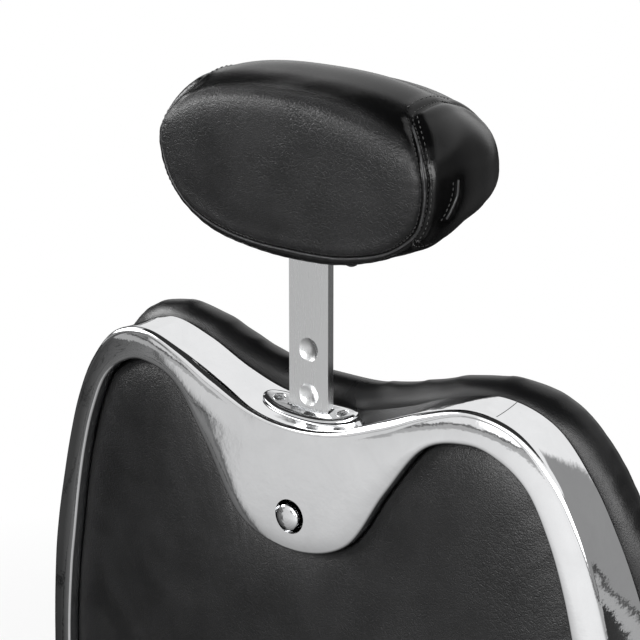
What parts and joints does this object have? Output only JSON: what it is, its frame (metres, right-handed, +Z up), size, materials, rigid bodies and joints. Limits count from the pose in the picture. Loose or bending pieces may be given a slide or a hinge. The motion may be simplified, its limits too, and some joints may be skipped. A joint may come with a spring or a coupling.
{
  "type": "hairdressing chair",
  "caption": "Round-based salon chair with a pump lift, swivelling padded seat with arms and leg rest, and a reclining chrome-framed back with a sliding, tilting headrest.",
  "frame": {"origin": "on the floor, where the axis of the lifting and swivelling column meets it", "axes": "+Z up along the column, +Y towards the back of the chair with the sitter facing -Y, +X to the sitter's left"},
  "size_m": [0.664, 0.952, 1.2492],
  "materials": {
    "chrome": "polished",
    "satin_steel": "satin",
    "black_metal": "satin",
    "cast_iron": "matte",
    "bronze": "satin",
    "black_leather": "satin",
    "plywood": "matte",
    "rubber": "matte",
    "black_plastic": "satin",
    "aluminium": "satin"
  },
  "bodies": {
    "base": {"foot_ring": "rubber", "base_dome": "chrome", "base_ballast": "cast_iron", "pump_housing": "chrome", "pump_barrel": "cast_iron", "gland_cap": "black_plastic", "flange_bolts": "chrome", "pedal_bracket": "black_metal", "pedal_pin": "satin_steel"},
    "pedal": {"pedal_lever": "chrome", "pedal_tread": "rubber"},
    "ram": {"lift_ram": "chrome", "thrust_washer": "bronze"},
    "seat": {"swivel_hub": "black_metal", "centre_plate": "black_metal", "crossbar_front": "black_metal", "crossbar_rear": "black_metal", "rail_left": "black_metal", "rail_right": "black_metal", "hinge_pins": "chrome", "hinge_washers": "bronze", "clamp_bolt": "chrome", "seat_board": "plywood", "seat_trim": "chrome", "seat_cushion": "black_leather", "arm_tube_left": "chrome", "arm_tube_right": "chrome", "arm_pad_left": "black_leather", "arm_pad_right": "black_leather", "leg_bars": "chrome", "leg_crossbars": "chrome", "calf_board": "black_metal", "calf_pad": "black_leather", "foot_pins": "chrome"},
    "footplate": {"foot_plate": "aluminium", "foot_tread": "rubber"},
    "clamp": {"clamp_lever": "chrome", "lever_grip": "black_plastic"},
    "back": {"back_frame": "chrome", "rear_panel_board": "plywood", "rear_panel": "black_leather", "back_board": "plywood", "back_cushion": "black_leather", "hinge_bracket_left": "black_metal", "hinge_bracket_right": "black_metal", "bar_guides": "black_metal", "latch_bracket": "satin_steel", "latch_spring": "satin_steel", "slot_plate": "satin_steel", "plate_screws": "satin_steel"},
    "latch": {"push_button": "chrome", "latch_yoke": "black_metal"},
    "headpost": {"headrest_bar": "satin_steel", "tilt_pin": "satin_steel"},
    "headrest": {"headrest_cushion": "black_leather", "headrest_board": "plywood", "tilt_bracket": "satin_steel", "tension_cap": "black_plastic"}
  },
  "joints": [
    {"name": "pedal_swing", "type": "hinge", "parent": "base", "child": "pedal", "pos_m": [0, 0.081, 0.099], "axis": [-1, 0, 0], "range_deg": [0, 16], "stiffness_Nm_per_rad": 8, "springref_deg": -22.92},
    {"name": "column_lift", "type": "slide", "parent": "base", "child": "ram", "axis": [0, 0, 1], "range_m": [0, 0.15]},
    {"name": "seat_swivel", "type": "hinge", "parent": "ram", "child": "seat", "pos_m": [0, 0, 0.3], "axis": [0, 0, 1], "continuous": true},
    {"name": "foot_flip", "type": "hinge", "parent": "seat", "child": "footplate", "pos_m": [0, -0.45, 0.139], "axis": [-1, 0, 0], "range_deg": [0, 80]},
    {"name": "clamp_turn", "type": "hinge", "parent": "seat", "child": "clamp", "pos_m": [0, 0.235, 0.359], "axis": [-1, 0, 0], "range_deg": [0, 30]},
    {"name": "recline", "type": "hinge", "parent": "seat", "child": "back", "pos_m": [0, 0.235, 0.421], "axis": [-1, 0, 0], "range_deg": [0, 50]},
    {"name": "button_press", "type": "slide", "parent": "back", "child": "latch", "axis": [0, -1, 0], "range_m": [0, 0.003], "stiffness_N_per_m": 1500, "springref_m": -0.003},
    {"name": "headrest_slide", "type": "slide", "parent": "back", "child": "headpost", "axis": [0, 0, 1], "range_m": [-0.033, 0.066]},
    {"name": "headrest_tilt", "type": "hinge", "parent": "headpost", "child": "headrest", "pos_m": [0, 0.275, 1.15374], "axis": [1, 0, 0], "range_deg": [-20, 20]}
  ]
}
